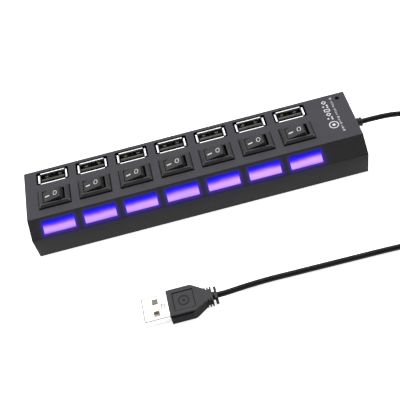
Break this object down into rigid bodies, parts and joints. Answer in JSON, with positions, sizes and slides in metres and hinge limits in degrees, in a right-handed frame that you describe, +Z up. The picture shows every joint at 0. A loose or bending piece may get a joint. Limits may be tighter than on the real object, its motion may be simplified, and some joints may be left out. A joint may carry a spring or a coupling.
{
  "type": "usb hub",
  "caption": "Bar-shaped USB hub with a row of upright sockets, a lit rocker switch and window for each, and a captive cord with plug.",
  "frame": {"origin": "middle of the case's underside, on the surface it stands on", "axes": "+X along the case towards the end where the cord leaves, +Y to the back away from the sloping lit face, +Z up out of the sockets"},
  "size_m": [0.2106, 0.0926, 0.0216],
  "materials": {
    "case_plastic": "fine moulded texture, dark grey",
    "switch_black": "smooth moulded, near black",
    "rocker_grey": "smooth moulded, dark grey",
    "window_blue": "translucent, lit blue to pale violet from behind",
    "socket_metal": "nickel plated sheet",
    "screw_steel": "zinc plated",
    "contact_gold": "gold plated",
    "insulator_white": "light grey moulded",
    "board": "green solder mask",
    "chip_black": "moulded epoxy",
    "can_metal": "drawn metal can",
    "cap_sleeve": "shrink sleeve",
    "led_clear": "clear lens",
    "led_dark": "dark lens",
    "cord_jacket": "soft black jacket",
    "wire_colours": "thin insulation",
    "tie_black": "coated wire tie"
  },
  "bodies": {
    "case": {"top_shell": "case_plastic", "bottom_cover": "case_plastic", "cover_screws": "screw_steel", "pcb_screws": "screw_steel", "main_pcb": "board", "hub_chips": "chip_black", "crystal": "can_metal", "capacitors": "cap_sleeve", "resistors": "chip_black", "status_leds": "led_clear", "power_led": "led_dark", "light_window_1": "window_blue", "light_window_2": "window_blue", "light_window_3": "window_blue", "light_window_4": "window_blue", "light_window_5": "window_blue", "light_window_6": "window_blue", "light_window_7": "window_blue", "port_shell_1": "socket_metal", "port_shell_2": "socket_metal", "port_shell_3": "socket_metal", "port_shell_4": "socket_metal", "port_shell_5": "socket_metal", "port_shell_6": "socket_metal", "port_shell_7": "socket_metal", "port_insulator_1": "insulator_white", "port_insulator_2": "insulator_white", "port_insulator_3": "insulator_white", "port_insulator_4": "insulator_white", "port_insulator_5": "insulator_white", "port_insulator_6": "insulator_white", "port_insulator_7": "insulator_white", "port_contacts": "contact_gold", "switch_housing_1": "switch_black", "switch_housing_2": "switch_black", "switch_housing_3": "switch_black", "switch_housing_4": "switch_black", "switch_housing_5": "switch_black", "switch_housing_6": "switch_black", "switch_housing_7": "switch_black", "switch_contacts": "contact_gold", "cable_bush": "cord_jacket", "cable_wires": "wire_colours", "cord_hub_run": "cord_jacket", "cord_coil": "cord_jacket", "cord_tie": "tie_black", "cord_plug_run": "cord_jacket", "plug_body": "cord_jacket", "plug_shell": "socket_metal", "plug_insulator": "insulator_white", "plug_contacts": "contact_gold"},
    "rocker_1": {"rocker_1": "rocker_grey"},
    "rocker_2": {"rocker_2": "rocker_grey"},
    "rocker_3": {"rocker_3": "rocker_grey"},
    "rocker_4": {"rocker_4": "rocker_grey"},
    "rocker_5": {"rocker_5": "rocker_grey"},
    "rocker_6": {"rocker_6": "rocker_grey"},
    "rocker_7": {"rocker_7": "rocker_grey"}
  },
  "joints": [
    {"name": "rocker_1_hinge", "type": "hinge", "parent": "case", "child": "rocker_1", "pos_m": [-0.0661, -0.00095, 0.0166], "axis": [0, 1, 0], "range_deg": [0, 28]},
    {"name": "rocker_2_hinge", "type": "hinge", "parent": "case", "child": "rocker_2", "pos_m": [-0.0465, -0.00095, 0.0166], "axis": [0, 1, 0], "range_deg": [0, 28]},
    {"name": "rocker_3_hinge", "type": "hinge", "parent": "case", "child": "rocker_3", "pos_m": [-0.0269, -0.00095, 0.0166], "axis": [0, 1, 0], "range_deg": [0, 28]},
    {"name": "rocker_4_hinge", "type": "hinge", "parent": "case", "child": "rocker_4", "pos_m": [-0.0073, -0.00095, 0.0166], "axis": [0, 1, 0], "range_deg": [0, 28]},
    {"name": "rocker_5_hinge", "type": "hinge", "parent": "case", "child": "rocker_5", "pos_m": [0.0123, -0.00095, 0.0166], "axis": [0, 1, 0], "range_deg": [0, 28]},
    {"name": "rocker_6_hinge", "type": "hinge", "parent": "case", "child": "rocker_6", "pos_m": [0.0319, -0.00095, 0.0166], "axis": [0, 1, 0], "range_deg": [0, 28]},
    {"name": "rocker_7_hinge", "type": "hinge", "parent": "case", "child": "rocker_7", "pos_m": [0.0515, -0.00095, 0.0166], "axis": [0, 1, 0], "range_deg": [0, 28]}
  ]
}
